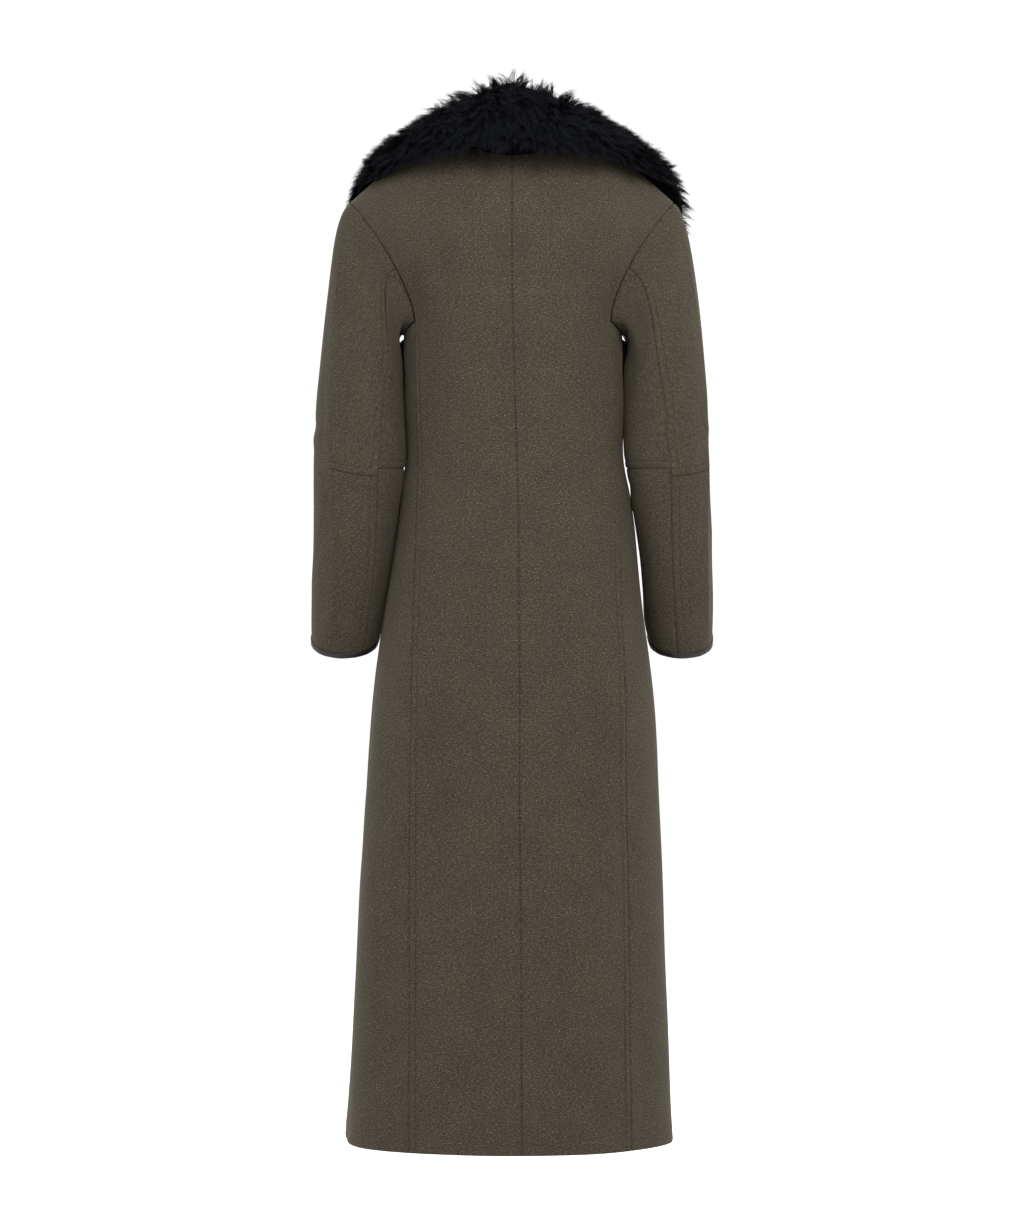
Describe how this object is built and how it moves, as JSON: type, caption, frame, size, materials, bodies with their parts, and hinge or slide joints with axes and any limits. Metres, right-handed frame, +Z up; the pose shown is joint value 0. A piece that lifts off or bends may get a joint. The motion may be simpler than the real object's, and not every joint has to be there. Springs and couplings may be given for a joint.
{
  "type": "wool coat with shearling collar",
  "caption": "Long fitted wool coat with seamed sleeves, bound cuffs, a buttoned front and a very wide dark shearling collar, filled out as if worn.",
  "frame": {"origin": "middle of the neck opening at the height of the neck ends of the shoulder seams", "axes": "+Z up, +X towards the wearer's left, the wearer faces -Y"},
  "size_m": [0.5402, 0.3334, 1.4027],
  "materials": {
    "wool": "felted olive brown wool, matte",
    "leather": "very dark brown, satin",
    "shearling": "long curly blue-black pile",
    "button": "dark horn look, satin"
  },
  "bodies": {
    "root": {"back_hem_left": "wool", "side_back_hem_left": "wool", "front_hem_left": "wool", "back_skirt_left": "wool", "side_back_skirt_left": "wool", "front_skirt_left": "wool", "back_waist_left": "wool", "side_back_waist_left": "wool", "front_waist_left": "wool", "back_yoke_left": "wool", "front_yoke_left": "wool", "sleeve_top_left": "wool", "sleeve_back_upper_left": "wool", "sleeve_back_lower_left": "wool", "sleeve_under_upper_left": "wool", "sleeve_under_lower_left": "wool", "back_hem_right": "wool", "side_back_hem_right": "wool", "front_hem_right": "wool", "back_skirt_right": "wool", "side_back_skirt_right": "wool", "front_skirt_right": "wool", "back_waist_right": "wool", "side_back_waist_right": "wool", "front_waist_right": "wool", "back_yoke_right": "wool", "front_yoke_right": "wool", "sleeve_top_right": "wool", "sleeve_back_upper_right": "wool", "sleeve_back_lower_right": "wool", "sleeve_under_upper_right": "wool", "sleeve_under_lower_right": "wool", "cuff_binding_left": "leather", "cuff_binding_right": "leather", "collar_left": "shearling", "collar_right": "shearling", "button_1": "button", "button_2": "button", "button_3": "button", "button_4": "button"}
  },
  "joints": []
}
